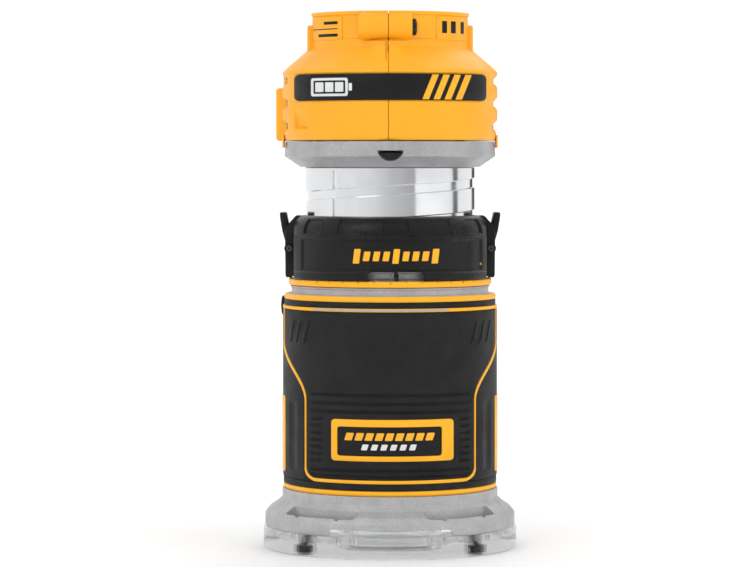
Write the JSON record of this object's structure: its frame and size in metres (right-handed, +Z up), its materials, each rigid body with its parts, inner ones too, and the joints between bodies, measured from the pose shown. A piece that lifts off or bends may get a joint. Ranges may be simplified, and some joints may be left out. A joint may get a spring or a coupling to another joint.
{
  "type": "trim router",
  "caption": "Cordless trim router: motor unit with helical depth ring and quick-release tabs, raised in a clamped cylindrical base with a clear sub-base.",
  "frame": {"origin": "centre of the sub-base's underside, on the spindle axis; z = 0 rests on the work", "axes": "+Z up along the spindle axis, -Y the front with the badge and spindle-lock button, +X to the right as seen from the front"},
  "size_m": [0.103, 0.1061, 0.216],
  "materials": {
    "clear_plastic": "clear moulded polycarbonate",
    "black_screw": "black oxide",
    "cast_aluminium": "blasted casting",
    "yellow_plastic": "fine moulded texture",
    "black_rubber": "soft overmould",
    "black_plastic": "fine moulded texture",
    "panel_black": "satin printed panel",
    "label_yellow": "printed label",
    "steel": "ground steel",
    "can_aluminium": "turned and polished",
    "laminations": "stacked steel",
    "copper": "enamelled wire",
    "magnets": "nickel plated",
    "brass_contacts": "plated",
    "circuit_board": "solder mask",
    "dark_steel": "black oxide"
  },
  "bodies": {
    "base": {"sub_base": "clear_plastic", "sub_base_screws": "black_screw", "base_casting": "cast_aluminium", "guide_pins": "steel", "grip_carrier": "yellow_plastic", "grip_front": "black_rubber", "grip_left": "black_rubber", "grip_right": "black_rubber", "grip_bands": "black_rubber", "badge_frame": "yellow_plastic", "badge_plate": "panel_black", "side_labels": "label_yellow", "clamp_bolt": "steel", "clamp_nut": "steel", "clamp_lever_pin": "steel"},
    "clamp": {"clamp_lever": "black_plastic"},
    "zero_scale": {"scale_ring": "yellow_plastic"},
    "ring": {"depth_ring": "black_plastic", "ring_keys": "steel", "tab_pins": "steel", "tab_springs": "steel"},
    "left_tab": {"release_tab_left": "black_plastic"},
    "right_tab": {"release_tab_right": "black_plastic"},
    "motor": {"housing_left": "yellow_plastic", "housing_right": "yellow_plastic", "housing_screws": "black_screw", "band_panel": "panel_black", "terminal_block": "black_plastic", "terminal_blades": "brass_contacts", "controller_board": "circuit_board", "switch_body": "black_plastic", "dial_potentiometer": "steel", "motor_cap": "cast_aluminium", "cap_screws": "black_screw", "spindle_lock_spring": "steel", "motor_can": "can_aluminium", "stator_core": "laminations", "stator_windings": "copper", "through_bolts": "steel", "upper_bearing": "steel", "lower_bearing": "steel", "nose_plate": "cast_aluminium", "retaining_ring": "steel", "led_board": "circuit_board", "led_lens": "clear_plastic"},
    "rocker": {"power_switch": "black_plastic"},
    "dial": {"speed_dial": "black_plastic"},
    "lock_button": {"spindle_lock_button": "black_plastic"},
    "rotor": {"rotor_core": "laminations", "rotor_magnets": "magnets", "spindle": "steel", "fan": "black_plastic", "collet": "dark_steel", "collet_nut": "dark_steel"}
  },
  "joints": [
    {"name": "depth_slide", "type": "slide", "parent": "base", "child": "motor", "axis": [0, 0, 1], "range_m": [-0.019, 0.019]},
    {"name": "ring_turn", "type": "hinge", "parent": "base", "child": "ring", "pos_m": [0, 0, 0.12], "axis": [0, 0, 1], "range_deg": [-539.58, 539.58]},
    {"name": "left_tab_press", "type": "hinge", "parent": "ring", "child": "left_tab", "pos_m": [-0.0408, 0, 0.1213], "axis": [0, 1, 0], "range_deg": [0, 8], "stiffness_Nm_per_rad": 0.5, "springref_deg": -17.19},
    {"name": "right_tab_press", "type": "hinge", "parent": "ring", "child": "right_tab", "pos_m": [0.0408, 0, 0.1213], "axis": [0, -1, 0], "range_deg": [0, 8], "stiffness_Nm_per_rad": 0.5, "springref_deg": -17.19},
    {"name": "zero_scale_turn", "type": "hinge", "parent": "base", "child": "zero_scale", "pos_m": [0, 0, 0.1078], "axis": [0, 0, 1], "continuous": true},
    {"name": "clamp_lever_turn", "type": "hinge", "parent": "base", "child": "clamp", "pos_m": [-0.0155, 0.0485, 0.097], "axis": [0, 0, -1], "range_deg": [0, 100]},
    {"name": "power_rocker", "type": "hinge", "parent": "motor", "child": "rocker", "pos_m": [0, 0.041, 0.182], "axis": [1, 0, 0], "range_deg": [-8, 8]},
    {"name": "speed_dial_turn", "type": "hinge", "parent": "motor", "child": "dial", "pos_m": [-0.03544, 0.01504, 0.175], "axis": [0, 0, 1], "range_deg": [0, 270]},
    {"name": "spindle_lock_press", "type": "slide", "parent": "motor", "child": "lock_button", "axis": [0, 1, 0], "range_m": [0, 0.003], "stiffness_N_per_m": 800, "springref_m": -0.004, "deforming": ["spindle_lock_spring"]},
    {"name": "spindle_spin", "type": "hinge", "parent": "motor", "child": "rotor", "pos_m": [0, 0, 0.1], "axis": [0, 0, 1], "continuous": true}
  ],
  "couplings": [
    {"joint": "ring_turn", "follows": "depth_slide", "rad_per_m": -494.74}
  ]
}
